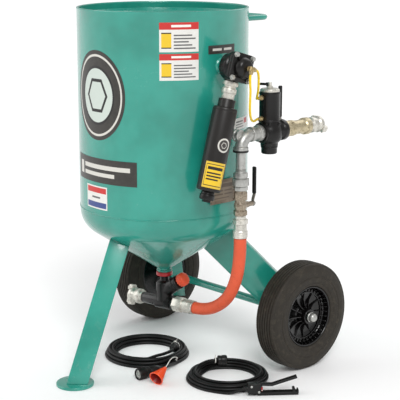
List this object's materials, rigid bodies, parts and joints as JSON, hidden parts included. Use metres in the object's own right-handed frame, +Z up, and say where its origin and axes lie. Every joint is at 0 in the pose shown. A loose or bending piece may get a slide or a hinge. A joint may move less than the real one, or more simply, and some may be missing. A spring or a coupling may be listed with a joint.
{
  "type": "abrasive blast pot",
  "caption": "Wheeled pressure pot for abrasive blasting: welded tank with cone bottom, two wheels, air valves, muffler, metering valve, hose and control leads.",
  "frame": {"origin": "on the floor, below the middle of the footprint of the pot, wheels and foot plate", "axes": "+Z up along the tank, +X from the tank towards the air valves (the right-hand wheel), +Y from the front leg towards the axle"},
  "size_m": [1.0736, 0.998, 1.31],
  "materials": {
    "pot_paint": "glossy sea-green enamel",
    "black_cast": "semi-gloss black paint over casting",
    "muffler_black": "satin black",
    "pipe_black": "black pipe varnish",
    "tyre_rubber": "matt brown-black rubber",
    "rim_black": "gloss black",
    "zinc": "galvanised",
    "brass": "dull yellow brass",
    "steel": "dull steel",
    "seal_rubber": "matt",
    "hose_orange": "matt orange-red cover",
    "tube_yellow": "glossy yellow",
    "grip_black": "moulded black",
    "lead_black": "satin black jacket",
    "red_plastic": "glossy orange-red"
  },
  "bodies": {
    "pot": {"tank_shell": "pot_paint", "top_head": "pot_paint", "bottom_head": "pot_paint", "fill_ring": "pot_paint", "fill_gasket": "seal_rubber", "stand_pipe": "zinc", "rear_handle": "pot_paint", "front_leg": "pot_paint", "foot_plate": "pot_paint", "rear_leg_right": "pot_paint", "rear_leg_left": "pot_paint", "axle": "pot_paint", "left_axle_nut": "zinc", "right_axle_nut": "zinc", "outlet_valve_body": "black_cast", "outlet_valve_cover": "black_cast", "signal_tee": "brass", "outlet_coupling": "zinc", "muffler_body": "muffler_black", "muffler_plug": "black_cast", "feed_nipple": "zinc", "inlet_elbow": "zinc", "inlet_valve_body": "black_cast", "valve_bottom_plug": "black_cast", "actuator_cylinder": "black_cast", "actuator_cap": "zinc", "actuator_fitting_upper": "brass", "actuator_fitting_lower": "brass", "inlet_ball_valve": "brass", "inlet_claw_coupling": "zinc", "riser_pipe": "zinc", "choke_valve_body": "brass", "hose_coupling_upper": "zinc", "mixing_pipe": "pipe_black", "hose_coupling_lower": "zinc", "blast_coupling": "zinc", "metering_valve_body": "black_cast", "pusher_hose": "hose_orange", "signal_tube_short": "tube_yellow", "signal_tube_long": "tube_yellow", "nameplate": "steel", "lead_coil_left": "lead_black", "lead_coil_right": "lead_black", "lead_plug_left": "lead_black", "lead_plug_right": "lead_black", "lead_connector": "grip_black", "orange_boot": "red_plastic", "deadman_body": "grip_black"},
    "left_wheel": {"left_tyre": "tyre_rubber", "left_rim": "rim_black", "left_bush": "steel"},
    "right_wheel": {"right_tyre": "tyre_rubber", "right_rim": "rim_black", "right_bush": "steel"},
    "inlet_lever": {"inlet_lever": "grip_black"},
    "choke_lever": {"choke_lever": "grip_black"},
    "metering_knob": {"metering_knob": "red_plastic"},
    "popup_valve": {"popup_valve": "seal_rubber"},
    "deadman_lever": {"deadman_lever": "grip_black"},
    "deadman_lock": {"deadman_lock": "red_plastic"}
  },
  "joints": [
    {"name": "left_wheel_spin", "type": "hinge", "parent": "pot", "child": "left_wheel", "pos_m": [-0.404, 0.301, 0.198], "axis": [1, 0, 0], "continuous": true},
    {"name": "right_wheel_spin", "type": "hinge", "parent": "pot", "child": "right_wheel", "pos_m": [0.404, 0.301, 0.198], "axis": [1, 0, 0], "continuous": true},
    {"name": "inlet_lever_turn", "type": "hinge", "parent": "pot", "child": "inlet_lever", "pos_m": [0.3223, 0.26, 0.889], "axis": [-1, 0, 0], "range_deg": [0, 90]},
    {"name": "choke_lever_turn", "type": "hinge", "parent": "pot", "child": "choke_lever", "pos_m": [0.375, 0.0704, 0.645], "axis": [0, 1, 0], "range_deg": [0, 90]},
    {"name": "metering_knob_turn", "type": "hinge", "parent": "pot", "child": "metering_knob", "pos_m": [0, -0.012, 0.262], "axis": [0.8097, 0.178, 0.5592], "range_deg": [0, 720]},
    {"name": "popup_valve_slide", "type": "slide", "parent": "pot", "child": "popup_valve", "axis": [0, 0, 1], "range_m": [0, 0.022]},
    {"name": "deadman_lever_squeeze", "type": "hinge", "parent": "pot", "child": "deadman_lever", "pos_m": [0.50493, -0.02321, 0.036], "axis": [-0.788, 0.6157, 0], "range_deg": [0, 12], "stiffness_Nm_per_rad": 2, "springref_deg": -8.59},
    {"name": "deadman_lock_flip", "type": "hinge", "parent": "pot", "child": "deadman_lock", "pos_m": [0.51417, -0.01139, 0.016], "axis": [-0.788, 0.6157, 0], "range_deg": [0, 75], "stiffness_Nm_per_rad": 0.02, "springref_deg": -17.19}
  ]
}
